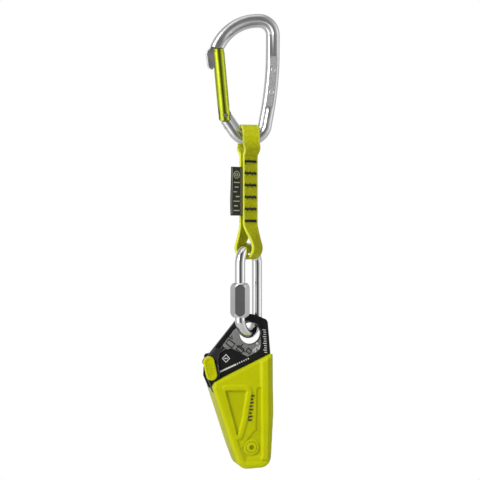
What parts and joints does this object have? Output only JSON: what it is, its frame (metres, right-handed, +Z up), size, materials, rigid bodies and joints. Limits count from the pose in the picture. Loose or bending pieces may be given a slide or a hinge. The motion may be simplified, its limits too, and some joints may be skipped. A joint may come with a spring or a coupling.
{
  "type": "in-line belay resistor",
  "caption": "Hanging rope-braking body on a sewn sling, screw quick link and solid-gate carabiner, with an opening rear half and a push latch.",
  "frame": {"origin": "hang point: the middle of the carabiner's inner top bend, where it rests on a bolt hanger", "axes": "+Z up along the hanging chain, X across the carabiner and the brake body with the gate towards -X, +Y from the printed front to the back"},
  "size_m": [0.0616, 0.0377, 0.352],
  "materials": {
    "bright_alloy": "forged and tumbled, satin",
    "bright_steel": "bright zinc plated",
    "gate_anodised": "bright anodised",
    "webbing": "woven polyamide",
    "thread": "sewing thread",
    "label": "woven label",
    "black_anodised": "black anodised",
    "block_alloy": "satin",
    "lime_plastic": "satin moulded",
    "black_plastic": "satin moulded",
    "bronze": "turned",
    "hard_steel": "hardened"
  },
  "bodies": {
    "carabiner": {"carabiner_body": "bright_alloy"},
    "gate": {"carabiner_gate": "gate_anodised", "gate_rivet": "hard_steel", "gate_spring": "hard_steel"},
    "plunger": {"gate_plunger": "hard_steel"},
    "sling": {"sling_webbing": "webbing", "sling_overlap": "webbing", "sling_bar_tacks": "thread", "sling_label": "label"},
    "link": {"quick_link_body": "bright_steel"},
    "link_sleeve": {"quick_link_sleeve": "bright_steel"},
    "device": {"main_plate": "black_anodised", "front_cover": "lime_plastic", "brake_block": "block_alloy", "wear_plate": "hard_steel", "upper_guide": "block_alloy", "latch_housing": "black_plastic", "latch_spring": "hard_steel", "hinge_pin": "hard_steel", "hinge_bush": "bronze", "hinge_cap": "lime_plastic", "stop_pin": "hard_steel", "block_screws": "hard_steel", "front_cover_screws": "hard_steel"},
    "swing_half": {"swing_plate": "black_anodised", "rear_cover": "lime_plastic", "rear_cover_screws": "hard_steel", "hinge_washer": "hard_steel"},
    "latch": {"latch_button": "lime_plastic", "latch_pin": "hard_steel", "latch_ring": "hard_steel"}
  },
  "joints": [
    {"name": "gate_hinge", "type": "hinge", "parent": "carabiner", "child": "gate", "pos_m": [-0.0296, 0, -0.0686], "axis": [0, 1, 0], "range_deg": [0, 27], "stiffness_Nm_per_rad": 0.03, "springref_deg": -34.38},
    {"name": "plunger_slide", "type": "slide", "parent": "gate", "child": "plunger", "axis": [-0.0941, 0, 0.9956], "range_m": [0, 0.0006], "deforming": ["gate_spring"]},
    {"name": "sling_swing", "type": "hinge", "parent": "carabiner", "child": "sling", "pos_m": [-0.0104, 0, -0.0863], "axis": [1, 0, 0], "range_deg": [-60, 60]},
    {"name": "link_swing", "type": "hinge", "parent": "sling", "child": "link", "pos_m": [-0.0104, 0, -0.171], "axis": [0.6947, 0.7193, 0], "range_deg": [-60, 60]},
    {"name": "sleeve_slide", "type": "slide", "parent": "link", "child": "link_sleeve", "axis": [0, 0, 1], "range_m": [0, 0.0134]},
    {"name": "device_swing", "type": "hinge", "parent": "link", "child": "device", "pos_m": [-0.0096, 0, -0.237], "axis": [0, 1, 0], "range_deg": [-45, 45]},
    {"name": "swing_half_hinge", "type": "hinge", "parent": "device", "child": "swing_half", "pos_m": [-0.0093, 0.01, -0.3247], "axis": [0, 1, 0], "range_deg": [0, 75]},
    {"name": "latch_press", "type": "slide", "parent": "device", "child": "latch", "axis": [0.9779, 0, 0.209], "range_m": [0, 0.0025], "stiffness_N_per_m": 900, "springref_m": -0.003, "deforming": ["latch_spring"]}
  ],
  "couplings": [
    {"joint": "plunger_slide", "follows": "gate_hinge", "m_per_rad": 0.0011311}
  ]
}
